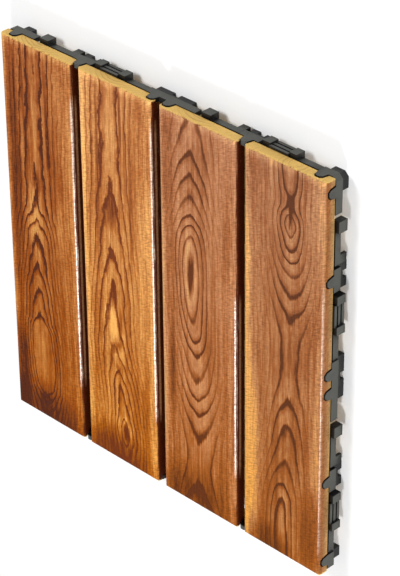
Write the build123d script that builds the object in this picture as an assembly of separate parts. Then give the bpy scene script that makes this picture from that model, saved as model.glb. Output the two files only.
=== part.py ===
from build123d import *
import os

# Interlocking wood deck tile: four slats screwed from below onto a moulded plastic base grid.
# Origin at the middle of the ground face, +X across the slats, +Y along them, +Z up. Millimetres.

# Laid pattern and slats
module_pitch = 300.0  # from one laid tile to the next, both ways
slat_count = 4
slat_width = 68.5
slat_thickness = 8.0
walking_edge_radius = 3.0  # long upper edges
sawn_edge_bevel = 1.2  # upper edges across the sawn ends

# Lattice of the base grid
base_height = 14.0
rib_bays_per_slat = 2
rib_rows = 12
rib_thickness = 2.0
rib_ground_clearance = 2.0  # water runs off under the lattice
band_clearance = 7.5  # higher way out, under the outermost bays and the bars
inner_foot_width = 9.0

# Faces along an edge, as set back from the joint line between laid tiles
stop_setback = 0.3
tongue_setback = 1.4
rim_setback = 2.5
bar_setback = 3.5
foot_setback = 5.0
edge_wall = 2.2
foot_depth = 4.0
corner_foot_width = 10.6
corner_chamfer = 3.0

# Heights along an edge
rim_height = 6.0
bar_top_gap = 1.6  # below the slats
stop_top_gap = 1.2
stop_height = 7.5
latch_post_top_gap = 3.0
latch_post_height = 9.0
tongue_rib_count = 3
tongue_rib_height = 2.1
tongue_slot_height = 1.2

# Places along an edge, measured from each quarter point
socket_offset = 25.0  # socket on one side of the quarter point, tongue on the other
socket_width = 18.0
stop_width = 8.0
latch_post_width = 6.2
tongue_width = 16.0
tongue_stop_width = 6.0
flex_slot_width = 4.5
quarter_rim_width = 16.6
quarter_foot_width = 18.0
centre_foot_width = 32.0
arch_width = 5.4
arch_height = 3.4

# Locating lugs and their notches in the slats
corner_lug_inset = 12.6
centre_lug_offset = 7.1
lug_base_width = 8.0
lug_nose_width = 5.4
lug_height = 5.6
lug_nose_chamfer = 1.5
notch_clearance = 0.6

# Screws, and their bosses at the crossings of the ribs
screw_rows = (-4, 4)  # counted from the middle rib that runs across the slats
screw_length = 9.5
screw_radius = 1.75
head_radius = 3.4
head_height = 2.2
boss_width = 11.0
boss_wall = 1.5
boss_floor = 3.0
screw_clearance = 0.1

# Worked out from the sizes above
half_module = module_pitch / 2
quarter_module = module_pitch / 4
slat_pitch = module_pitch / slat_count
slat_gap = slat_pitch - slat_width
slat_length = module_pitch - slat_gap
bay_width = slat_pitch / rib_bays_per_slat
row_spacing = module_pitch / rib_rows
rim_bottom = base_height - rim_height
bar_top = base_height - bar_top_gap
wall_back = bar_setback + edge_wall
stop_top = base_height - stop_top_gap
post_top = base_height - latch_post_top_gap
tongue_height = tongue_rib_count * (tongue_rib_height + tongue_slot_height) - tongue_slot_height
tongue_bottom = base_height - tongue_height
stop_bottom = stop_top - stop_height
socket_left = -socket_offset - socket_width / 2
socket_right = -socket_offset + socket_width / 2
tongue_left = socket_offset - tongue_width / 2
tongue_right = socket_offset + tongue_width / 2
screw_seat = base_height - boss_floor
screw_point = screw_seat + screw_length


def panel(left, right, bottom, top):
    """Upright rectangle in the plane of an edge."""
    return Pos((left + right) / 2, (bottom + top) / 2) * Rectangle(right - left, top - bottom)


def at_quarters(panels):
    """Repeat panels at both quarter points of an edge, as one outline."""
    return Sketch() + [Pos(x, 0) * part for x in (-quarter_module, quarter_module) for part in panels]


def layer(front, back, outline):
    """Extrude an upright outline between two planes set back from the joint line."""
    return extrude(Plane.XZ.offset(front) * outline, back - front)


def on_four_edges(part):
    """Turn a part, drawn with the joint line on the X axis, onto all four edges."""
    return [Rot(0, 0, 90 * k) * Pos(0, half_module, 0) * part for k in range(4)]


def stop_panels():
    """Blocks that meet the next tile: one beside the socket, two beside the tongue."""
    return [panel(socket_left - stop_width, socket_left, stop_bottom, stop_top),
            panel(tongue_left - tongue_stop_width, tongue_left, tongue_bottom, stop_top),
            panel(tongue_right, tongue_right + tongue_stop_width, tongue_bottom, stop_top)]


def rim_panels():
    """Raised rim at the quarter points, the corners and the middle of an edge."""
    corner_rim_end = socket_left - stop_width - flex_slot_width
    centre_rim_start = quarter_module - centre_foot_width / 2
    return [panel(-quarter_rim_width / 2, quarter_rim_width / 2, rim_bottom, base_height),
            panel(-quarter_module, corner_rim_end, rim_bottom, base_height),
            panel(centre_rim_start, quarter_module, rim_bottom, base_height)]


def wall_panels():
    """Wall behind it all: bars with open flex slots between them, and the post of the socket."""
    post_right = socket_right + latch_post_width
    bar_end = quarter_module - centre_foot_width / 2
    return [panel(socket_left - stop_width, post_right, band_clearance, bar_top),
            panel(socket_right, post_right, post_top - latch_post_height, post_top),
            panel(tongue_left, tongue_right, tongue_bottom, base_height),
            panel(tongue_right, bar_end, band_clearance, bar_top)]


def tongue_panels():
    """Thin ribs of the tongue, one above another with open slots between."""
    pitch = tongue_rib_height + tongue_slot_height
    bottoms = [tongue_bottom + k * pitch for k in range(tongue_rib_count)]
    return [panel(tongue_left, tongue_right, z, z + tongue_rib_height) for z in bottoms]


def arched_foot(width):
    """Outline of a foot with an arch that lets water through."""
    arch = panel(-arch_width / 2, arch_width / 2, 0, arch_height)
    return panel(-width / 2, width / 2, 0, base_height) - arch


def lug_outline(clearance):
    """Tapered lug with a bevelled nose, or with a clearance the notch it stands in."""
    foot = lug_base_width / 2 + clearance
    nose = lug_nose_width / 2 + clearance
    tip = base_height + lug_height + clearance
    outline = make_face(Polyline((-foot, rim_bottom), (foot, rim_bottom), (foot, base_height),
                                 (nose, tip), (-nose, tip), (-foot, base_height), close=True))
    return chamfer(outline.vertices().group_by(Axis.Y)[-1], lug_nose_chamfer)


def lug_stations():
    """Places of the locating lugs along one edge."""
    corner = half_module - corner_lug_inset
    return (-corner, -quarter_module, -centre_lug_offset, centre_lug_offset, quarter_module, corner)


def edge_moulding():
    """One edge of the base as layers, from the stops in front to the feet behind."""
    reach = half_module - rim_setback - corner_chamfer
    stops, wall = at_quarters(stop_panels()), at_quarters(wall_panels())
    rims = at_quarters(rim_panels()) & panel(-reach, reach, rim_bottom, base_height)
    feet = at_quarters([arched_foot(quarter_foot_width)]) + arched_foot(centre_foot_width)
    lugs = Sketch() + [Pos(x, 0) * lug_outline(0) for x in lug_stations()]
    return [layer(stop_setback, wall_back, stops),
            layer(tongue_setback, bar_setback, at_quarters(tongue_panels())),
            layer(rim_setback, wall_back, rims),
            layer(bar_setback, wall_back, wall),
            layer(foot_setback, foot_setback + foot_depth, feet),
            layer(rim_setback, wall_back, lugs)]


def corner_block():
    """Corner of the rim, bevelled outside, on a narrower foot."""
    foot_outside = half_module - foot_setback
    inside = foot_outside - corner_foot_width
    rim_width = half_module - rim_setback - inside
    blocks = []
    for width, bottom, top in ((corner_foot_width, 0, base_height), (rim_width, rim_bottom, base_height)):
        square = Pos(inside + width / 2, inside + width / 2) * Rectangle(width, width)
        outer = square.vertices().sort_by(lambda v: v.X + v.Y)[-1]
        blocks.append(Pos(0, 0, bottom) * extrude(chamfer(outer, corner_chamfer), top - bottom))
    return blocks


def slat_centres():
    """Middle of each slat across the tile."""
    return [(k - (slat_count - 1) / 2) * slat_pitch for k in range(slat_count)]


def screw_places(slat_x):
    """Screw positions in one slat, at crossings of the ribs."""
    return [(slat_x, row * row_spacing) for row in screw_rows]


def lattice():
    """Ribs with square bosses and inner feet, raised further off the ground in the outer bays."""
    columns = slat_count * rib_bays_per_slat
    cell = Rectangle(bay_width - rib_thickness, row_spacing - rib_thickness)
    cells = GridLocations(bay_width, row_spacing, columns, rib_rows) * cell
    width = module_pitch - 2 * bar_setback - edge_wall
    inner = Rectangle(module_pitch - 2 * bay_width + rib_thickness,
                      module_pitch - 2 * row_spacing + rib_thickness)
    bosses = [Pos(*place) * Rectangle(boss_width, boss_width)
              for x in slat_centres() for place in screw_places(x)]
    foot = Rectangle(inner_foot_width, inner_foot_width)
    feet = [foot] + GridLocations(half_module, half_module, 2, 2) * foot
    upper = Rectangle(width, width) - cells + bosses + feet
    lower = inner - cells + bosses + feet
    return [Pos(0, 0, band_clearance) * extrude(upper, base_height - band_clearance),
            Pos(0, 0, rib_ground_clearance) * extrude(lower, band_clearance - rib_ground_clearance),
            extrude(Sketch() + feet, rib_ground_clearance)]


def screw_cuts():
    """Pockets up into the bosses, and the screw holes through what is left."""
    pocket_width = boss_width - 2 * boss_wall
    pocket = extrude(Rectangle(pocket_width, pocket_width), screw_seat)
    hole = extrude(Circle(screw_radius + screw_clearance), base_height)
    places = [place for x in slat_centres() for place in screw_places(x)]
    return [Pos(*place) * cut for place in places for cut in (pocket, hole)]


def base_grid():
    """The whole base, moulded in one piece."""
    corners = [Rot(0, 0, 90 * k) * block for k in range(4) for block in corner_block()]
    edges = [turned for part in edge_moulding() for turned in on_four_edges(part)]
    return Part() + [*lattice(), *edges, *corners] - screw_cuts()


def screw(x, y):
    """Pan-head screw, its head against the floor of the boss and its shank in the slat."""
    head = Pos(0, 0, screw_seat - head_height) * extrude(Circle(head_radius), head_height)
    shank = Pos(0, 0, screw_seat) * extrude(Circle(screw_radius), screw_length)
    return Pos(x, y, 0) * (head + shank)


def end_bevel():
    """Wedge that eases the upper edge across one sawn end, drawn in the plane along the slat."""
    end, top, cut = slat_length / 2, base_height + slat_thickness, sawn_edge_bevel
    return make_face(Polyline((end - cut, top), (end, top - cut), (end, top), close=True))


def slat(x):
    """One slat: a rounded section, eased at its sawn ends, with notches and pilot holes below."""
    section = Rectangle(slat_width, slat_thickness)
    section = fillet(section.vertices().group_by(Axis.Y)[-1], walking_edge_radius)
    middle = base_height + slat_thickness / 2
    board = extrude(Plane.XZ.offset(-slat_length / 2) * Pos(x, middle) * section, slat_length)
    bevel = extrude(Plane.YZ.offset(x - slat_width / 2) * end_bevel(), slat_width)
    notches = Sketch() + [Pos(station, 0) * lug_outline(notch_clearance) for station in lug_stations()]
    notch_row = layer(0, wall_back + notch_clearance, notches)
    pilot_depth = screw_point - base_height + screw_clearance
    pilot = Pos(0, 0, base_height) * extrude(Circle(screw_radius + screw_clearance), pilot_depth)
    pilots = [Pos(*place) * pilot for place in screw_places(x)]
    return board - bevel - mirror(bevel, Plane.XZ) - on_four_edges(notch_row) - pilots


os.makedirs("parts", exist_ok=True)
export_step(base_grid(), "parts/base_grid.step")
for number, centre in enumerate(slat_centres(), start=1):
    export_step(slat(centre), f"parts/slat_{number}.step")
    screws = Compound(children=[screw(*place) for place in screw_places(centre)])
    export_step(screws, f"parts/screws_slat_{number}.step")
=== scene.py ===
import math
import bmesh
import bpy
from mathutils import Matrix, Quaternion, Vector


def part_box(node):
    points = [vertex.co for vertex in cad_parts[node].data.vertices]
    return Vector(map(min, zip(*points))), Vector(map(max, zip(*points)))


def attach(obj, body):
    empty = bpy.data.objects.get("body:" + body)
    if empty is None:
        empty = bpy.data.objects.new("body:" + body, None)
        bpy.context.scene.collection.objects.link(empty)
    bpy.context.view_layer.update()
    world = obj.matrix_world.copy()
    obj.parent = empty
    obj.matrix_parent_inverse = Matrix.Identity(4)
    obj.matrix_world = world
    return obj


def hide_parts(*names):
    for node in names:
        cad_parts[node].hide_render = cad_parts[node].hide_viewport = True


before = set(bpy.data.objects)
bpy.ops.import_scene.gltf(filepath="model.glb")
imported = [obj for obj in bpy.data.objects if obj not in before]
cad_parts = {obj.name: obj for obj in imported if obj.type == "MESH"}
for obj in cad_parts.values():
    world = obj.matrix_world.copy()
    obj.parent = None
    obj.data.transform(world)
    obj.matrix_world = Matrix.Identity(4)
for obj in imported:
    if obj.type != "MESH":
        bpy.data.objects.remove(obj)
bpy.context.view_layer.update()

# Slats
# Four planed softwood boards, each sawn near the heart of its own log, so the rings show as arches
# and eyes. The walking faces are brown-stained and oiled; the sawn ends and undersides stay pale.
# Each board is held by two screws from below.


def linear(hex_colour):
    """Turn an sRGB hex value into the linear colour that a shader socket takes."""
    parts = [int(hex_colour[k:k + 2], 16) / 255 for k in (1, 3, 5)]
    return [p / 12.92 if p <= 0.04045 else ((p + 0.055) / 1.055) ** 2.4 for p in parts] + [1.0]


def add_node(tree, kind, inputs=None, **settings):
    """Add a node. Each input takes a value, a socket, or a node whose first live output feeds it."""
    node = tree.nodes.new(kind)
    for name, value in settings.items():
        setattr(node, name, value)
    live = [socket for socket in node.inputs if socket.enabled]
    for key, value in (inputs or {}).items():
        socket = live[key] if isinstance(key, int) else next(s for s in live if s.name == key)
        if isinstance(value, bpy.types.Node):
            value = next(s for s in value.outputs if s.enabled)
        if isinstance(value, bpy.types.NodeSocket):
            tree.links.new(value, socket)
        else:
            socket.default_value = value
    return node


def new_material(name):
    """An empty material, and the node tree to fill."""
    material = bpy.data.materials.new(name)
    material.use_nodes = True
    material.node_tree.nodes.clear()
    return material, material.node_tree


def dress(node_name, material):
    """Give a piece of the frame its material."""
    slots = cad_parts[node_name].data.materials
    slots.clear()
    slots.append(material)


def set_stops(ramp, stops):
    """Give a colour ramp its stops: pairs of position and linear colour."""
    elements = ramp.color_ramp.elements
    while len(elements) > 1:
        elements.remove(elements[-1])
    elements[0].position, elements[0].color = stops[0]
    for position, colour in stops[1:]:
        elements.new(position).color = colour


def set_grey_stops(ramp, stops):
    """Give a colour ramp grey stops: pairs of position and level."""
    set_stops(ramp, [(position, (level, level, level, 1)) for position, level in stops])


def set_curve(node, points, x_range, y_range, sharp=()):
    """Lay a float curve through points in real units, with a pointed turn at each sharp x."""
    curve = node.mapping.curves[0]
    x_span, y_span = x_range[1] - x_range[0], y_range[1] - y_range[0]
    places = [((x - x_range[0]) / x_span, (y - y_range[0]) / y_span, x) for x, y in sorted(points)]
    curve.points[0].location, curve.points[1].location = places[0][:2], places[-1][:2]
    for across, up, x in places[1:-1]:
        curve.points.new(across, up).handle_type = "VECTOR" if x in sharp else "AUTO"
    node.mapping.update()


# Lengths on the boards are in millimetres, from the middle of each walking face
slat_low, slat_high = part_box("slat_2")
half_length = (slat_high.y - slat_low.y) * 1000 / 2
half_width = (slat_high.x - slat_low.x) * 1000 / 2
slat_thickness = (slat_high.z - slat_low.z) * 1000
ends = (-half_length, half_length)
noise_mean = (0.5, 0.5, 0.5)

deepest_heart = 50.0
widest_drift = 12.0
tip_offset = 0.44  # puts the darkest part of a ring at a whole number of rings over the heart
cusp_half_width = 3.5
ring_profile = ((0.0, 0.3), (0.06, 0.0), (0.50, 0.03), (0.70, 0.22), (0.84, 0.9), (0.93, 1.0), (1.0, 0.3))


def growth_rings(tree, board, fibre, seed, spacing, heart_depth, heart_dives, eyes, plain_heart,
                 heart_drift, cusp, kinks, year_weights, fade_by):
    """Rings about a heart that dives and drifts along the board: their count, and their darkness.

    heart_dives gives, along the board, how many rings lie over the heart: a dark arch has its tip
    where that is a whole number, and cusp is how pointed it is. eyes are the places where the
    heart turns sharply. heart_drift gives how far it lies to the side, and no ring shows within
    plain_heart of it. year_weights are the faintest and the boldest year. To the sides, the rings
    fade as far as fade_by.
    """
    across, along, up = add_node(tree, "ShaderNodeSeparateXYZ", {0: board}).outputs

    # The heart's depth and side drift along the board
    share = add_node(tree, "ShaderNodeMapRange", {"Value": along, "From Min": ends[0], "From Max": ends[1]})
    dive = add_node(tree, "ShaderNodeFloatCurve", {"Value": share})
    depths = [(y, heart_depth + count * spacing) for y, count in heart_dives]
    set_curve(dive, depths, ends, (0, deepest_heart), eyes)
    drift = add_node(tree, "ShaderNodeFloatCurve", {"Value": share})
    set_curve(drift, heart_drift, ends, (-widest_drift, widest_drift))
    drift = add_node(tree, "ShaderNodeMath", {0: drift, 1: 2 * widest_drift, 2: -widest_drift},
                     operation="MULTIPLY_ADD")

    # Slow bends of the trunk, 33 mm across, and 7 mm kinks that give each arch a jagged tip
    bends_per_mm = (0.030, 0.012, 0.030)
    kinks_per_mm = (0.15, 0.065, 0.15)
    bend_reach = (5.0, 0.0, 4.0)
    kink_reach = (kinks, 0.0, kinks)
    bend_at = add_node(tree, "ShaderNodeMapping",
                       {"Vector": board, "Scale": bends_per_mm, "Location": (seed, 0, 0)})
    bend = add_node(tree, "ShaderNodeTexNoise", {"Vector": bend_at, "Scale": 1.0, "Detail": 1.0})
    bend = add_node(tree, "ShaderNodeVectorMath", {0: bend.outputs["Color"], 1: noise_mean},
                    operation="SUBTRACT")
    bend = add_node(tree, "ShaderNodeVectorMath", {0: bend, 1: bend_reach}, operation="MULTIPLY")
    kink_at = add_node(tree, "ShaderNodeMapping",
                       {"Vector": board, "Scale": kinks_per_mm, "Location": (0, seed, 0)})
    kink = add_node(tree, "ShaderNodeTexNoise",
                    {"Vector": kink_at, "Scale": 1.0, "Detail": 4.0, "Roughness": 0.6})
    kink = add_node(tree, "ShaderNodeVectorMath", {0: kink.outputs["Color"], 1: noise_mean},
                    operation="SUBTRACT")
    shift = add_node(tree, "ShaderNodeVectorMath", {0: kink, 1: kink_reach, 2: bend},
                     operation="MULTIPLY_ADD")
    side_shift, _, depth_shift = add_node(tree, "ShaderNodeSeparateXYZ", {0: shift}).outputs

    # Distance from the heart
    side = add_node(tree, "ShaderNodeMath", {0: across, 1: drift}, operation="SUBTRACT")
    side = add_node(tree, "ShaderNodeMath", {0: side, 1: side_shift}, operation="ADD")
    depth = add_node(tree, "ShaderNodeMath", {0: dive, 1: deepest_heart, 2: up}, operation="MULTIPLY_ADD")
    depth = add_node(tree, "ShaderNodeMath", {0: depth, 1: depth_shift}, operation="ADD")
    from_heart = add_node(tree, "ShaderNodeCombineXYZ", {0: side, 1: depth})
    radius = add_node(tree, "ShaderNodeVectorMath", {0: from_heart}, operation="LENGTH").outputs["Value"]
    off_centre = add_node(tree, "ShaderNodeMath", {0: side}, operation="ABSOLUTE")
    pointed = add_node(tree, "ShaderNodeMapRange",
                       {"Value": off_centre, "From Max": cusp_half_width, "To Max": cusp})
    radius = add_node(tree, "ShaderNodeMath", {0: radius, 1: pointed}, operation="ADD")

    # Rings counted outwards: wide and narrow in turn every 9 mm or so, and frayed by the fibres
    uneven_years, frayed = 0.7, 0.22
    lean_years = add_node(tree, "ShaderNodeTexNoise", {"W": radius, "Scale": 0.11, "Detail": 1.0},
                          noise_dimensions="1D")
    first_ring = tip_offset - heart_depth / spacing
    rings = add_node(tree, "ShaderNodeMath", {0: radius, 1: 1 / spacing, 2: first_ring},
                     operation="MULTIPLY_ADD")
    rings = add_node(tree, "ShaderNodeMath", {0: lean_years, 1: uneven_years, 2: rings},
                     operation="MULTIPLY_ADD")
    rings = add_node(tree, "ShaderNodeMath", {0: fibre, 1: frayed, 2: rings}, operation="MULTIPLY_ADD")
    part_of_year = add_node(tree, "ShaderNodeMath", {0: rings}, operation="FRACT")
    year = add_node(tree, "ShaderNodeMath", {0: rings}, operation="FLOOR")

    # Latewood: the dark hard part of each ring, stronger in some years and fading to the sides
    fade_from, faded = 5.0, 0.14
    heart_edge = 0.6
    late = add_node(tree, "ShaderNodeValToRGB", {"Fac": part_of_year})
    set_grey_stops(late, ring_profile)
    weight = add_node(tree, "ShaderNodeTexWhiteNoise", {"W": year}, noise_dimensions="1D")
    weight = add_node(tree, "ShaderNodeMapRange",
                      {"Value": weight, "To Min": year_weights[0], "To Max": year_weights[1]})
    fade = add_node(tree, "ShaderNodeMapRange",
                    {"Value": off_centre, "From Min": fade_from, "From Max": fade_by,
                     "To Min": 1.0, "To Max": faded})
    ringed = add_node(tree, "ShaderNodeMapRange",
                      {"Value": radius, "From Min": plain_heart - heart_edge, "From Max": plain_heart})
    late = add_node(tree, "ShaderNodeMath", {0: late, 1: weight}, operation="MULTIPLY")
    late = add_node(tree, "ShaderNodeMath", {0: late, 1: fade}, operation="MULTIPLY")
    late = add_node(tree, "ShaderNodeMath", {0: late, 1: ringed}, operation="MULTIPLY")
    return rings, late


# Weights in the stain: 0 is its palest tone, 1 its darkest
tone_places = (0.0, 0.25, 0.52, 1.0)
cloud_weight = 0.7
streak_weight = 0.8
mottle_weight = 0.40
fine_line_weight = 0.07
fine_lines_per_ring = 3.0
left_edge_paling = -0.32
right_edge_paling = -0.12
far_end_bleach = -0.25
wiped_off = 0.575  # what the painter's cloth took off all over


def stain_darkness(tree, board, fibre, ragged, rings, late, seed, marks):
    """How dark the stain is: rings, clouds, streaks, paler long edges, and the board's own marks.

    marks are soft-edged patches, each with its place across and along the board, its half width,
    its half length and how much darker it is.
    """
    across, along, _ = add_node(tree, "ShaderNodeSeparateXYZ", {0: board}).outputs

    # Streaks 3 mm wide, clouds 20 mm wide and mottles 2 mm wide, all longer with the grain
    streaks_per_mm = (0.32, 0.009, 0.32)
    clouds_per_mm = (0.05, 0.014, 0.05)
    mottles_per_mm = (0.45, 0.15, 0.45)
    streak_at = add_node(tree, "ShaderNodeMapping",
                         {"Vector": board, "Scale": streaks_per_mm, "Location": (seed, 0, seed)})
    streak = add_node(tree, "ShaderNodeTexNoise",
                      {"Vector": streak_at, "Scale": 1.0, "Detail": 3.0, "Roughness": 0.6})
    cloud_at = add_node(tree, "ShaderNodeMapping",
                        {"Vector": board, "Scale": clouds_per_mm, "Location": (0, 0, seed)})
    cloud = add_node(tree, "ShaderNodeTexNoise", {"Vector": cloud_at, "Scale": 1.0, "Detail": 3.0})
    mottle_at = add_node(tree, "ShaderNodeMapping",
                         {"Vector": board, "Scale": mottles_per_mm, "Location": (seed, seed, 0)})
    mottle = add_node(tree, "ShaderNodeTexNoise",
                      {"Vector": mottle_at, "Scale": 1.0, "Detail": 3.0, "Roughness": 0.6})
    fine_line = add_node(tree, "ShaderNodeMath", {0: rings, 1: fine_lines_per_ring}, operation="MULTIPLY")
    fine_line = add_node(tree, "ShaderNodeMath", {0: fine_line}, operation="FRACT")

    # The long edges are paler, the left one more so, and the far end has bleached
    to_side = add_node(tree, "ShaderNodeMath", {0: across}, operation="ABSOLUTE")
    side_reach = add_node(tree, "ShaderNodeMath", {0: to_side, 1: ragged}, operation="ADD")
    far_reach = add_node(tree, "ShaderNodeMath", {0: along, 1: ragged}, operation="ADD")
    near_long_edge = add_node(tree, "ShaderNodeMapRange",
                     {"Value": side_reach, "From Min": half_width - 8.0, "From Max": half_width - 3.0},
                     interpolation_type="SMOOTHSTEP")
    edge_paling = add_node(tree, "ShaderNodeMapRange",
                        {"Value": across, "From Min": -10.0, "From Max": 10.0,
                         "To Min": left_edge_paling, "To Max": right_edge_paling})
    bleached = add_node(tree, "ShaderNodeMapRange",
                        {"Value": far_reach, "From Min": half_length - 7.0, "From Max": half_length - 1.0},
                        interpolation_type="SMOOTHSTEP")

    stain = add_node(tree, "ShaderNodeMath", {0: cloud, 1: cloud_weight, 2: late}, operation="MULTIPLY_ADD")
    for source, weight in ((streak, streak_weight), (mottle, mottle_weight), (fine_line, fine_line_weight),
                           (near_long_edge, edge_paling), (bleached, far_end_bleach)):
        stain = add_node(tree, "ShaderNodeMath", {0: source, 1: weight, 2: stain}, operation="MULTIPLY_ADD")
    stain = add_node(tree, "ShaderNodeMath", {0: stain, 1: wiped_off}, operation="SUBTRACT")

    # The board's own marks, smeared along the fibres
    smear_reach = (3.0, 26.0, 0.0)
    mark_rim, mark_core = 1.3, 0.3
    smear = add_node(tree, "ShaderNodeVectorMath", {0: fibre.outputs["Color"], 1: noise_mean},
                     operation="SUBTRACT")
    smeared = add_node(tree, "ShaderNodeVectorMath", {0: smear, 1: smear_reach, 2: board},
                       operation="MULTIPLY_ADD")
    for x, y, wide, long, darkness in marks:
        near = add_node(tree, "ShaderNodeMapping",
                        {"Vector": smeared, "Scale": (1 / wide, 1 / long, 0),
                         "Location": (-x / wide, -y / long, 0)})
        reach = add_node(tree, "ShaderNodeVectorMath", {0: near}, operation="LENGTH").outputs["Value"]
        patch = add_node(tree, "ShaderNodeMapRange",
                         {"Value": reach, "From Min": mark_rim, "From Max": mark_core, "To Max": darkness},
                         interpolation_type="SMOOTHSTEP")
        stain = add_node(tree, "ShaderNodeMath", {0: stain, 1: patch}, operation="ADD")
    return stain


def worn_and_highlit_stretch(tree, along, start, stop, wear_and_highlight_strength):
    """The stretch of a board whose arris is worn and carries a painted highlight: the strength within it,
    nothing beyond.
    """
    half_stretch = (stop - start) / 2
    fading = 6.0
    trodden_and_highlit = add_node(tree, "ShaderNodeMath", {0: along, 1: start + half_stretch}, operation="SUBTRACT")
    trodden_and_highlit = add_node(tree, "ShaderNodeMath", {0: trodden_and_highlit}, operation="ABSOLUTE")
    return add_node(tree, "ShaderNodeMapRange",
                    {"Value": trodden_and_highlit, "From Min": half_stretch + fading, "From Max": half_stretch - fading,
                     "To Max": wear_and_highlight_strength})


# Painted shade on the long sides within the gaps, and a painted lit band 4 mm down them
gap_painted_shade = "#4c1c08"
gap_painted_lit_band = "#a87650"
edge_stain = "#8f582e"
edge_drained = "#a57c4e"
outer_edge_from = 0.140  # metres from the middle of the tile, past the last gap
outer_edge_full = 0.145
lit_band_depth = 4.0
lit_band_half = 0.9


def flank_colour(tree, objects, up, grain, trodden_and_highlit):
    """Long sides: darkened by painted shade in the gaps, with a painted lit band down them where the arris
    is highlit, and paler on the tile's two edges.
    """
    drained = add_node(tree, "ShaderNodeMapRange", {"Value": up, "From Min": -3.0, "From Max": -6.5})
    edge = add_node(tree, "ShaderNodeMix",
                    {"Factor": drained, "A": linear(edge_stain), "B": linear(edge_drained)},
                    data_type="RGBA")
    line = add_node(tree, "ShaderNodeMath", {0: up, 1: -lit_band_depth, 2: lit_band_half},
                    operation="COMPARE")
    painted_light_mask = add_node(tree, "ShaderNodeMath", {0: line, 1: trodden_and_highlit}, operation="MULTIPLY")
    gap = add_node(tree, "ShaderNodeMix",
                   {"Factor": painted_light_mask, "A": linear(gap_painted_shade), "B": linear(gap_painted_lit_band)}, data_type="RGBA")
    from_middle = add_node(tree, "ShaderNodeVectorMath", {0: objects}, operation="ABSOLUTE")
    from_middle = add_node(tree, "ShaderNodeSeparateXYZ", {0: from_middle}).outputs[0]
    outer = add_node(tree, "ShaderNodeMapRange",
                     {"Value": from_middle, "From Min": outer_edge_from, "From Max": outer_edge_full})
    flank = add_node(tree, "ShaderNodeMix", {"Factor": outer, "A": gap, "B": edge}, data_type="RGBA")
    return add_node(tree, "ShaderNodeVectorMath", {0: flank, 1: grain}, operation="MULTIPLY")


bare_early_wood = "#dab264"
bare_late_wood = "#bf9450"
# A near-white for the right arris: partly wear, partly a painted highlight
arris_highlight_and_wear = "#fbeedd"
# Saturation at the near end; a painted sheen greys the far end
near_end_saturation = 1.045


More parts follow.
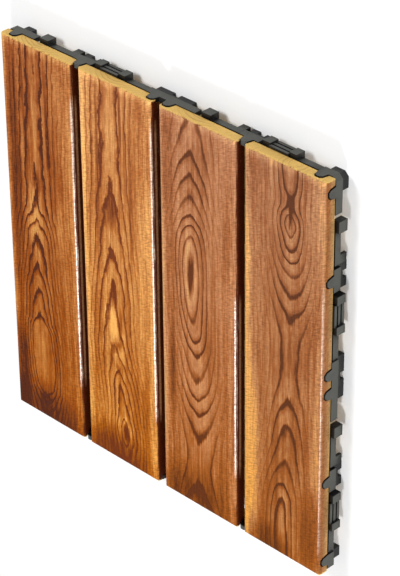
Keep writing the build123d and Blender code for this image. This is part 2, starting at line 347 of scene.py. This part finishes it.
def stained_board(name, place, seed, tones, greyed, wear_and_highlight, rings, marks):
    """Softwood, planed, brown-stained and oiled: flame grain in warm browns under a low sheen.

    tones run from the palest stain to the darkest. greyed is the share of its colour that a painted
    sheen takes off at the far end. wear_and_highlight says from where to where along the board, and
    how much, its right arris is worn and carries a painted highlight, with a painted lit band on the
    flank below it. rings and marks are as growth_rings and stain_darkness take them, and seed sets
    this board's patterns apart.
    """
    material, tree = new_material(name)
    objects = add_node(tree, "ShaderNodeTexCoord").outputs["Object"]
    board = add_node(tree, "ShaderNodeMapping",
                     {"Vector": objects, "Scale": (1000,) * 3, "Location": [-1000 * v for v in place]})
    across, along, up = add_node(tree, "ShaderNodeSeparateXYZ", {0: board}).outputs
    to_side = add_node(tree, "ShaderNodeMath", {0: across}, operation="ABSOLUTE")
    to_end = add_node(tree, "ShaderNodeMath", {0: along}, operation="ABSOLUTE")

    # Fibres 0.7 mm across and 20 mm long, coarser than real ones so that they show
    fibres_per_mm = (1.4, 0.05, 1.4)
    fibre_at = add_node(tree, "ShaderNodeMapping",
                        {"Vector": board, "Scale": fibres_per_mm, "Location": (seed, seed, 0)})
    fibre = add_node(tree, "ShaderNodeTexNoise",
                     {"Vector": fibre_at, "Scale": 1.0, "Detail": 4.0, "Roughness": 0.65})
    wander = 1.5  # how far the limit of a finish strays either way
    ragged = add_node(tree, "ShaderNodeMath", {0: fibre, 1: 2 * wander, 2: -wander},
                      operation="MULTIPLY_ADD")

    # Slanting ripple left by the planer, two millimetres from crest to crest, deepest by the long edges
    ripple_size = (4.0, 1.0, 2.0)
    ripple_slant = (0, 0, 0.36)
    ripple_at = add_node(tree, "ShaderNodeMapping",
                         {"Vector": board, "Scale": ripple_size, "Rotation": ripple_slant},
                         vector_type="TEXTURE")
    ripple = add_node(tree, "ShaderNodeTexNoise", {"Vector": ripple_at, "Scale": 1.0, "Detail": 2.0})
    rippled = add_node(tree, "ShaderNodeMapRange",
                       {"Value": to_side, "From Min": 6.0, "From Max": 28.0, "To Min": 0.45, "To Max": 1.5})
    crest = add_node(tree, "ShaderNodeMath", {0: ripple, 1: 0.5}, operation="SUBTRACT")
    crest = add_node(tree, "ShaderNodeMath", {0: crest, 1: rippled}, operation="MULTIPLY")

    # The stained face, shaded by fibres and ripple, with a painted sheen that greys it towards the far end
    ring_count, late = growth_rings(tree, board, fibre, seed, **rings)
    stain = stain_darkness(tree, board, fibre, ragged, ring_count, late, seed, marks)
    stained = add_node(tree, "ShaderNodeValToRGB", {"Fac": stain})
    set_stops(stained, [(at, linear(tone)) for at, tone in zip(tone_places, tones)])
    fibre_contrast, darkest_fibre = 1.15, 0.435
    grain = add_node(tree, "ShaderNodeMath", {0: fibre, 1: fibre_contrast, 2: darkest_fibre},
                     operation="MULTIPLY_ADD")
    grain = add_node(tree, "ShaderNodeMath", {0: grain, 1: crest}, operation="ADD")
    stained = add_node(tree, "ShaderNodeVectorMath", {0: stained, 1: grain}, operation="MULTIPLY")
    sheen_saturation = add_node(tree, "ShaderNodeMapRange",
                         {"Value": along, "From Min": ends[0], "From Max": ends[1],
                          "To Min": near_end_saturation, "To Max": 1 - greyed})
    stained = add_node(tree, "ShaderNodeHueSaturation", {"Saturation": sheen_saturation, "Color": stained})

    # The right-hand arris: a bright broken line over the trodden stretch, partly rubbed-through wear and
    # partly a painted highlight
    trodden_and_highlit = worn_and_highlit_stretch(tree, along, *wear_and_highlight)
    arris_highlight = add_node(tree, "ShaderNodeMapRange",
                     {"Value": across, "From Min": half_width - 1.9, "From Max": half_width - 1.2})
    arris_highlight = add_node(tree, "ShaderNodeMath", {0: arris_highlight, 1: trodden_and_highlit}, operation="MULTIPLY")
    broken = add_node(tree, "ShaderNodeMapRange",
                      {"Value": ripple, "From Min": 0.36, "From Max": 0.54, "To Min": 0.22, "To Max": 0.62})
    arris_highlight = add_node(tree, "ShaderNodeMath", {0: arris_highlight, 1: broken}, operation="MULTIPLY")
    stained = add_node(tree, "ShaderNodeMix", {"Factor": arris_highlight, "A": stained, "B": linear(arris_highlight_and_wear)},
                       data_type="RGBA")

    # Bare wood on the sawn ends and the underside, with the rings only just darker
    bare = add_node(tree, "ShaderNodeMix",
                    {"Factor": late, "A": linear(bare_early_wood), "B": linear(bare_late_wood)},
                    data_type="RGBA")
    soft_grain = add_node(tree, "ShaderNodeMath", {0: fibre, 1: 0.5, 2: 0.75}, operation="MULTIPLY_ADD")
    bare = add_node(tree, "ShaderNodeVectorMath", {0: bare, 1: soft_grain}, operation="MULTIPLY")

    # Each finish on its own faces of the board, with ragged limits
    side_reach = add_node(tree, "ShaderNodeMath", {0: to_side, 1: ragged}, operation="ADD")
    end_reach = add_node(tree, "ShaderNodeMath", {0: to_end, 1: ragged}, operation="ADD")
    on_flank = add_node(tree, "ShaderNodeMapRange",
                        {"Value": side_reach, "From Min": half_width - 1.1, "From Max": half_width - 0.3},
                        interpolation_type="SMOOTHSTEP")
    on_end = add_node(tree, "ShaderNodeMapRange",
                      {"Value": end_reach, "From Min": half_length - 1.2, "From Max": half_length - 0.2},
                      interpolation_type="SMOOTHSTEP")
    on_underside = add_node(tree, "ShaderNodeMapRange",
                            {"Value": up, "From Min": 0.3 - slat_thickness,
                             "From Max": 0.1 - slat_thickness})
    flank = flank_colour(tree, objects, up, grain, trodden_and_highlit)
    colour = add_node(tree, "ShaderNodeMix", {"Factor": on_flank, "A": stained, "B": flank},
                      data_type="RGBA")
    colour = add_node(tree, "ShaderNodeMix", {"Factor": on_end, "A": colour, "B": bare}, data_type="RGBA")
    colour = add_node(tree, "ShaderNodeMix", {"Factor": on_underside, "A": colour, "B": bare},
                      data_type="RGBA")

    # Brushed relief: the hard rings stand proud, and the fibres leave grooves
    height = add_node(tree, "ShaderNodeMath", {0: fibre, 1: 0.25}, operation="MULTIPLY")
    height = add_node(tree, "ShaderNodeMath", {0: late, 1: 0.10, 2: height}, operation="MULTIPLY_ADD")
    height = add_node(tree, "ShaderNodeMath", {0: ripple, 1: 0.20, 2: height}, operation="MULTIPLY_ADD")
    relief = add_node(tree, "ShaderNodeBump", {"Height": height, "Strength": 0.7, "Distance": 0.001})
    roughness = add_node(tree, "ShaderNodeMapRange", {"Value": late, "To Min": 0.52, "To Max": 0.40})

    # Feet polish the rounded arrises, on the crests of the ripple most
    polish = add_node(tree, "ShaderNodeMapRange",
                      {"Value": to_side, "From Min": half_width - 3.2, "From Max": half_width - 1.7})
    on_rounding = add_node(tree, "ShaderNodeMapRange", {"Value": up, "From Min": -3.5, "From Max": -2.5})
    spotted = add_node(tree, "ShaderNodeMapRange",
                       {"Value": ripple, "From Min": 0.38, "From Max": 0.54, "To Min": 0.25})
    for share in (on_rounding, trodden_and_highlit, spotted):
        polish = add_node(tree, "ShaderNodeMath", {0: polish, 1: share}, operation="MULTIPLY")
    wood = add_node(tree, "ShaderNodeBsdfPrincipled",
                    {"Base Color": colour, "Roughness": roughness, "IOR": 1.46, "Specular IOR Level": 0.08,
                     "Coat Weight": polish, "Coat Roughness": 0.19, "Coat IOR": 1.5, "Normal": relief})
    add_node(tree, "ShaderNodeOutputMaterial", {"Surface": wood})
    return material


boards = {
    "slat_1": dict(
        name="softwood_brown_stained_smoky", seed=3.1, greyed=0.03, wear_and_highlight=(-100, 118, 1.0),
        tones=("#ce9450", "#b4723a", "#904812", "#4a1c04"),
        rings=dict(
            spacing=2.6, cusp=0.6, kinks=3.0, year_weights=(0.85, 1.30), fade_by=23.0,
            heart_depth=11, plain_heart=10.4, eyes=(),
            heart_dives=((146, 5.4), (100, 5.25), (60, 5.3), (42, 5.25), (26, 5), (13, 4), (1, 3), (-23, 2),
                         (-40, 1), (-64, 0), (-76, -2.2), (-97, -3.4), (-116, -2.2), (-129, 0),
                         (-146, 1.8)),
            heart_drift=((144, -2), (50, -5), (0, -5.5), (-60, -5.8), (-120, -3.2), (-146, -3))),
        marks=(
            # Dark arch tips, the smoky left side, and the near tip of the long loop
            (-4, 44, 4, 10, 0.45), (-5, -1, 3, 7, 0.60), (-27, 60, 8, 110, 0.30), (-4, -129, 4, 3, 0.50),
            # Dark streaks at the far end
            (8, 102, 1.3, 42, 0.38), (-22, 112, 1.4, 36, 0.28), (-14, 106, 1.4, 40, 0.24),
            # Paler stretches of the heartwood and of the right side
            (-6, 14, 9, 34, -0.30), (-5.0, -94, 6, 26, -0.12), (-1, 92, 9, 36, -0.20),
            (22, 20, 9, 120, -0.06),
            # The near corner, darkened by painted shade, and the dark near end
            (-31, -112, 14, 44, 0.55), (-26, 12, 8, 26, 0.10), (0, -148, 44, 30, 0.50))),
    "slat_2": dict(
        name="softwood_brown_stained_golden", seed=11.7, greyed=0.055, wear_and_highlight=(-94, 128, 1.0),
        tones=("#ecac5c", "#cc8c4a", "#a65e22", "#682c08"),
        rings=dict(
            spacing=3.0, cusp=0.6, kinks=3.0, year_weights=(0.62, 1.0), fade_by=27.0,
            heart_depth=4, plain_heart=5.0, eyes=(),
            heart_dives=((146, 7.3), (110, 7.2), (85, 7.2), (62, 7), (18, 6), (-8, 5), (-49, 4), (-69, 3),
                         (-84, 2), (-107, 1), (-121, 0), (-134, 1), (-146, 1.8)),
            heart_drift=((144, -4), (63, -6.5), (0, -5), (-45, -6.5), (-75, -2.3), (-119, 3.2), (-146, 4))),
        marks=(
            # Dark arch tips, and the near eye, dark in a pale ring
            (-5, 50, 4.5, 14, 0.50), (-5, 18, 4, 4, 0.45), (-4.5, -8, 3, 6, 0.40),
            (4, -121, 5, 12, -0.35), (4, -121, 3.2, 8, 1.2),
            # The golden flame, the dark line beside it, and the tips below it
            (1, -36, 2, 16, 0.40), (-7, -32, 8, 12, -0.42), (-3, -51, 5, 4, 0.40), (-2, -70, 4, 3, 0.30),
            # Dark streaks at the far end
            (5, 122, 1.5, 30, 0.50), (-17, 100, 1.3, 50, 0.36), (13, 80, 1.2, 60, 0.26),
            # Paler stretches, and the dark near end
            (26, 0, 8, 130, -0.08), (-5, 96, 8, 34, -0.10), (-28, 20, 7, 110, -0.16),
            (-2, -50, 9, 20, -0.26), (-10, -148, 44, 28, 0.56))),
    "slat_3": dict(
        name="softwood_brown_stained_eyed", seed=23.9, greyed=0.075, wear_and_highlight=(-103, 30, 1.0),
        tones=("#cc945a", "#b5784c", "#985626", "#5a2a0a"),
        rings=dict(
            spacing=3.5, cusp=0.3, kinks=1.4, year_weights=(0.50, 1.0), fade_by=20.0,
            heart_depth=4.3, plain_heart=6.4, eyes=(35,),
            heart_dives=((146, 6.6), (126, 6), (106, 5), (90, 4), (78, 3), (70, 2), (62, 1), (35, -1.2),
                         (-4, 1), (-17, 2), (-27, 3), (-45, 4), (-59, 5), (-72, 6), (-91, 7),
                         (-112, 7.5), (-133, 7), (-148, 5.9)),
            heart_drift=((144, -3.9), (78, -5.5), (35, -6.4), (-45, -1.6), (-90, -0.3), (-146, 0.5))),
        marks=(
            # The pale eye with its dark spindle, and the paler heartwood below it
            (-6.4, 33, 7.0, 30, -0.34), (-2, -40, 9, 50, -0.16), (-6.4, 35, 3.4, 17, 1.5),
            # Dark arch tips
            (-5.6, 92, 5, 4, 0.35), (-1.5, -44, 3.5, 4, 0.35), (-0.3, -89, 3, 4, 0.35),
            # Darker streaks on the left, and its pale edge
            (-24, -50, 4, 45, 0.34), (-28, 110, 8, 45, 0.20), (-33, 20, 3, 60, -0.25),
            # The paler far end and the dark near end
            (-4, 140, 12, 12, -0.20), (-10, -148, 44, 34, 0.50))),
    "slat_4": dict(
        name="softwood_brown_stained_twin_eyed", seed=37.3, greyed=0.085, wear_and_highlight=(-130, 70, 0.35),
        tones=("#d4964e", "#af7648", "#925224", "#562a0c"),
        rings=dict(
            spacing=3.5, cusp=0.25, kinks=1.4, year_weights=(0.50, 1.0), fade_by=18.0,
            heart_depth=2, plain_heart=4.0, eyes=(106,),
            heart_dives=((146, 1.15), (134, 1.4), (121, 2.05), (113, 1), (106, 0), (99, 1), (88, 2),
                         (79, 3), (69, 4), (54, 5), (37, 6), (18, 6.5), (-8, 6.5), (-24, 6), (-47, 5),
                         (-71, 4), (-88, 3), (-104, 2), (-122, 1.5), (-146, 1.4)),
            heart_drift=((146, 4.5), (106, 5.5), (38, 6.2), (-24, 5), (-63, 4.8), (-98, 1.6), (-146, 0.8))),
        marks=(
            # The far eye and the fork over it, the tips below, and the dark heart between the arches
            (6.0, 115, 2.1, 8, 0.85), (5.8, 106, 2, 4, 0.50), (6.4, 38, 5, 4, 0.30), (6, 12, 1.8, 26, 0.45),
            (6, -24, 4, 4, 0.50),
            # The yellow left edge, and one more arch tip
            (-30, -80, 12, 80, -0.50), (-33, 40, 4, 60, -0.25), (2, -48, 3, 5, 0.30),
            # The darker near corners, and the pale heart of the near loop
            (26, -115, 12, 40, 0.34), (-14, -150, 30, 24, 0.40), (2, -112, 5, 26, -0.30))),
}
for node_name, facts in boards.items():
    low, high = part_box(node_name)
    top_centre = ((low.x + high.x) / 2, 0.0, high.z)
    dress(node_name, stained_board(place=top_centre, **facts))

# Base grid
# One injection moulding in black polypropylene: rim, bars, feet, tongues, lugs and lattice in one shot.
# The mould's spark-eroded faces leave it satin and grey in the open, with a bloom in patches; painted shade
# darkens it black in corners and recesses.

painted_recess_shade = "#060606"
open_bloomed_grey = "#43433e"


def moulded_polypropylene():
    """Black polypropylene, injection moulded: satin and finely pitted, grey in the open with a patchy
    bloom, and painted shade black in recesses.
    """
    material, tree = new_material("polypropylene_black_moulded")
    objects = add_node(tree, "ShaderNodeTexCoord").outputs["Object"]
    plastic_mm = add_node(tree, "ShaderNodeMapping", {"Vector": objects, "Scale": (1000,) * 3})

    # Pits 0.6 mm wide, coarser than real ones so that they show, and a bloom in patches of 12 mm
    pits_per_mm = 1.6
    blooms_per_mm = 0.08
    pits = add_node(tree, "ShaderNodeTexNoise",
                    {"Vector": plastic_mm, "Scale": pits_per_mm, "Detail": 3.0, "Roughness": 0.7})
    bloom = add_node(tree, "ShaderNodeTexNoise",
                     {"Vector": plastic_mm, "Scale": blooms_per_mm, "Detail": 3.0})

    # Painted shade: grey where the surface is open for 8 mm round it, black in corners and recesses,
    # shifted by the bloom
    openness = add_node(tree, "ShaderNodeAmbientOcclusion", {"Distance": 0.008}, samples=8).outputs["AO"]
    painted_light_mask = add_node(tree, "ShaderNodeMath", {0: bloom, 1: 0.6, 2: openness}, operation="MULTIPLY_ADD")
    painted_light_mask = add_node(tree, "ShaderNodeMapRange", {"Value": painted_light_mask, "From Min": 1.01, "From Max": 1.33},
                      interpolation_type="SMOOTHSTEP")
    colour = add_node(tree, "ShaderNodeMix",
                      {"Factor": painted_light_mask, "A": linear(painted_recess_shade), "B": linear(open_bloomed_grey)},
                      data_type="RGBA")
    speckle = add_node(tree, "ShaderNodeMath", {0: pits, 1: 0.5, 2: 0.75}, operation="MULTIPLY_ADD")
    colour = add_node(tree, "ShaderNodeVectorMath", {0: colour, 1: speckle}, operation="MULTIPLY")

    # Edges softened by 0.4 mm, as a mould leaves them
    softened = add_node(tree, "ShaderNodeBevel", {"Radius": 0.0004}, samples=6)
    grained = add_node(tree, "ShaderNodeBump",
                       {"Height": pits, "Strength": 0.35, "Distance": 0.0002, "Normal": softened})
    roughness = add_node(tree, "ShaderNodeMapRange",
                         {"Value": bloom, "From Min": 0.35, "From Max": 0.65,
                          "To Min": 0.36, "To Max": 0.5})
    plastic = add_node(tree, "ShaderNodeBsdfPrincipled",
                       {"Base Color": colour, "Roughness": roughness, "IOR": 1.49,
                        "Specular IOR Level": 0.3, "Normal": grained})
    add_node(tree, "ShaderNodeOutputMaterial", {"Surface": plastic})
    return material


dress("base_grid", moulded_polypropylene())

# Screws
# Zinc-plated steel pan-head screws, two to a slat, driven from below. Their heads sit in the pockets
# of the bosses with the cross recess towards the ground, and their threads hold in the slats.

head_radius = 0.0034
head_height = 0.0022
head_outline = ((0.70, 0.0), (0.86, 0.08), (0.95, 0.22), (1.0, 0.45), (1.0, 0.93), (0.97, 1.0))
core_radius = 0.0012
thread_radius = 0.00172
thread_pitch = 0.0016
thread_ridge = 1 / 1.8  # share of the pitch that the ridge takes
point_length = 0.0028
point_bluntness = 0.06
recess_depth = 0.0013
recess_mouth = (0.0019, 0.00042)  # reach and half width of the cross's arms
recess_floor = (0.0010, 0.00026)
steps_round = 24
steps_up = 52


def new_piece(name, form):
    """Make a shaped form into an object in the scene."""
    mesh = bpy.data.meshes.new(name)
    form.to_mesh(mesh)
    form.free()
    piece = bpy.data.objects.new(name, mesh)
    bpy.context.scene.collection.objects.link(piece)
    return piece


def add_cross(form, z, arms):
    """Add the outline of a cross recess at a height: the edges between its twelve corners."""
    reach, half = arms
    arm = [(reach, -half), (reach, half), (half, half)]
    corners = []
    for turn in range(4):
        corners += [form.verts.new((x, y, z)) for x, y in arm]
        arm = [(-y, x) for x, y in arm]
    return [form.edges.new((corners[k - 1], corners[k])) for k in range(len(corners))]


def cut_thread(shank, length):
    """Raise a helical ridge on a plain shank, and draw the shank in to a point."""
    for vertex in shank:
        x, y, z = vertex.co
        climb = (z / thread_pitch - math.atan2(y, x) / math.tau) % 1.0
        ridge = max(0.0, 1.0 - abs(2.0 * climb - 1.0) / thread_ridge)
        narrowing = max(point_bluntness, min(1.0, (length - z) / point_length))
        radius = (core_radius + (thread_radius - core_radius) * ridge) * narrowing
        vertex.co = (x / core_radius * radius, y / core_radius * radius, z)


def shape_screw(form, length):
    """One screw, point up on the origin: a spun outline, its thread, and the recess in its head."""
    outline = [(wide * head_radius, high * head_height) for wide, high in head_outline]
    outline += [(core_radius, head_height), (core_radius, length)]
    points = [form.verts.new((x, 0.0, z)) for x, z in outline]
    edges = [form.edges.new(pair) for pair in zip(points, points[1:])]
    bmesh.ops.subdivide_edges(form, edges=edges[-1:], cuts=steps_up - 1)
    bmesh.ops.spin(form, geom=form.verts[:] + form.edges[:], axis=(0, 0, 1), cent=(0, 0, 0),
                   angle=math.tau, steps=steps_round, use_merge=True)
    cut_thread([v for v in form.verts if v.co.xy.length < 1.01 * core_radius], length)

    open_edges = [edge for edge in form.edges if edge.is_boundary]
    tip = [edge for edge in open_edges if edge.verts[0].co.z > head_height]
    rim = [edge for edge in open_edges if edge.verts[0].co.z < head_height]
    bmesh.ops.edgeloop_fill(form, edges=tip)
    mouth = add_cross(form, 0.0, recess_mouth)
    floor = add_cross(form, recess_depth, recess_floor)
    bmesh.ops.bridge_loops(form, edges=mouth + floor)
    bmesh.ops.edgeloop_fill(form, edges=floor)
    bmesh.ops.triangle_fill(form, use_beauty=True, use_dissolve=False, edges=rim + mouth)


def zinc_plated_steel():
    """Steel screws, bright zinc plated and passivated: faintly blue and straw, dulled in patches."""
    material, tree = new_material("steel_zinc_plated")
    objects = add_node(tree, "ShaderNodeTexCoord").outputs["Object"]
    steel_mm = add_node(tree, "ShaderNodeMapping", {"Vector": objects, "Scale": (1000,) * 3})

    # Tints in patches of 1.4 mm, and a spangle of 0.25 mm
    hazes_per_mm = 0.7
    spangles_per_mm = 4.0
    haze = add_node(tree, "ShaderNodeTexNoise", {"Vector": steel_mm, "Scale": hazes_per_mm, "Detail": 3.0})
    spangle = add_node(tree, "ShaderNodeTexNoise",
                       {"Vector": steel_mm, "Scale": spangles_per_mm, "Detail": 3.0, "Roughness": 0.7})
    tint = add_node(tree, "ShaderNodeValToRGB", {"Fac": haze})
    set_stops(tint, [(0.35, linear("#b9c3c9")), (0.5, linear("#c9c9c4")), (0.65, linear("#c4b894"))])
    roughness = add_node(tree, "ShaderNodeMapRange", {"Value": spangle, "To Min": 0.18, "To Max": 0.46})
    relief = add_node(tree, "ShaderNodeBump", {"Height": spangle, "Strength": 0.3, "Distance": 0.00005})
    steel = add_node(tree, "ShaderNodeBsdfPrincipled",
                     {"Base Color": tint, "Metallic": 1.0, "Roughness": roughness, "Normal": relief})
    add_node(tree, "ShaderNodeOutputMaterial", {"Surface": steel})
    return material


steel = zinc_plated_steel()
for number in range(1, 5):
    low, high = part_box(f"screws_slat_{number}")
    near = Vector(((low.x + high.x) / 2, low.y + head_radius, low.z))
    apart = Vector((0.0, high.y - low.y - 2 * head_radius, 0.0))
    form = bmesh.new()
    shape_screw(form, high.z - low.z)
    twin = bmesh.ops.duplicate(form, geom=form.verts[:] + form.edges[:] + form.faces[:])["geom"]
    second = [part for part in twin if isinstance(part, bmesh.types.BMVert)]
    bmesh.ops.translate(form, vec=apart, verts=second)
    bmesh.ops.translate(form, vec=near, verts=form.verts)
    bmesh.ops.recalc_face_normals(form, faces=form.faces)
    screws = new_piece(f"screws_{number}_threaded", form)
    screws.data.shade_smooth()
    screws.data.set_sharp_from_angle(angle=math.radians(40))
    screws.data.materials.append(steel)
    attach(screws, "root")
    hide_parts(f"screws_slat_{number}")

# Floor and light
# A plain white studio sweep: a soft key from above and beyond the far edge, and soft fills. The
# floor lets lamps and eyes through from below, so that the underside can be looked at too.

floor_form = bmesh.new()
bmesh.ops.create_grid(floor_form, x_segments=1, y_segments=1, size=6.0)
floor = new_piece("studio_floor", floor_form)


def looked_at(tree):
    """One for a ray from the camera, or one that a shiny or clear surface passes on, and else zero."""
    rays = add_node(tree, "ShaderNodeLightPath").outputs
    direct = add_node(tree, "ShaderNodeMath", {0: rays["Is Camera Ray"], 1: rays["Is Glossy Ray"]},
                      operation="MAXIMUM")
    return add_node(tree, "ShaderNodeMath", {0: direct, 1: rays["Is Transmission Ray"]},
                    operation="MAXIMUM")


def white_paper():
    """Matt white paper: it takes the tile's shadow, and runs out to plain white away from the tile."""
    material, tree = new_material("paper_white_matt")
    spot = add_node(tree, "ShaderNodeTexCoord").outputs["Object"]
    from_tile = add_node(tree, "ShaderNodeVectorMath", {0: spot}, operation="LENGTH").outputs["Value"]
    run_out = add_node(tree, "ShaderNodeValToRGB", {"Fac": from_tile})
    set_grey_stops(run_out, ((0.14, 0.0), (0.26, 0.6), (0.5, 0.85), (1.0, 1.0)))
    matt = add_node(tree, "ShaderNodeBsdfDiffuse", {"Color": linear("#d8d8d8")})
    lit = add_node(tree, "ShaderNodeBsdfDiffuse", {"Color": linear("#ffffff")})
    glow = add_node(tree, "ShaderNodeEmission", {"Color": linear("#ffffff")})
    white = add_node(tree, "ShaderNodeMixShader", {0: run_out, 1: lit, 2: glow})
    surface = add_node(tree, "ShaderNodeMixShader", {0: looked_at(tree), 1: matt, 2: white})
    underneath = add_node(tree, "ShaderNodeNewGeometry").outputs["Backfacing"]
    shadow = add_node(tree, "ShaderNodeLightPath").outputs["Is Shadow Ray"]
    let_through = add_node(tree, "ShaderNodeMath", {0: underneath, 1: shadow}, operation="MAXIMUM")
    clear = add_node(tree, "ShaderNodeBsdfTransparent")
    surface = add_node(tree, "ShaderNodeMixShader", {0: let_through, 1: surface, 2: clear})
    add_node(tree, "ShaderNodeOutputMaterial", {"Surface": surface})
    return material


floor.data.materials.append(white_paper())

# The sky is white to the eye and a soft fill to the tile
sky_fill = 0.28
world = bpy.data.worlds.new("studio_sky")
bpy.context.scene.world = world
world.use_nodes = True
world.node_tree.nodes.clear()
seen = looked_at(world.node_tree)
strength = add_node(world.node_tree, "ShaderNodeMapRange",
                    {"Value": seen, "To Min": sky_fill, "To Max": 1.0})
sky = add_node(world.node_tree, "ShaderNodeBackground", {"Color": linear("#ffffff"), "Strength": strength})
add_node(world.node_tree, "ShaderNodeOutputWorld", {"Surface": sky})


def area_lamp(name, place, size, power):
    """A square soft box at a place, aimed at the middle of the tile."""
    lamp = bpy.data.lights.new(name, "AREA")
    lamp.size, lamp.energy = size, power
    holder = bpy.data.objects.new(name, lamp)
    holder.location = place
    holder.rotation_euler = (-Vector(place)).to_track_quat("-Z", "Y").to_euler()
    bpy.context.scene.collection.objects.link(holder)


area_lamp("key_lamp", (-0.35, 1.0, 1.25), 0.5, 17.0)
area_lamp("side_lamp", (1.6, 0.2, 0.5), 0.8, 11.0)
area_lamp("front_lamp", (0.70, -0.92, 1.21), 0.25, 14.0)
area_lamp("under_lamp", (0.5, 0.3, -1.2), 0.8, 9.0)

# Camera
# A long lens looks down over one corner of the tile from 1.65 m away, so that the view is nearly
# flat. It is rolled until the slats run up the picture.

camera = bpy.data.cameras.new("camera")
camera.lens = 160.9
camera.sensor_width = 36.0
viewer = bpy.data.objects.new("camera", camera)
viewer.location = (1.0398, 0.8931, 1.0123)
aim = Vector((0.0396, 0.0280, 0.022))
roll = math.radians(-117.946)
view_turn = (aim - viewer.location).to_track_quat("-Z", "Y") @ Quaternion((0, 0, 1), roll)
viewer.rotation_euler = view_turn.to_euler()
bpy.context.scene.collection.objects.link(viewer)
bpy.context.scene.camera = viewer
bpy.context.scene.view_settings.view_transform = "Standard"
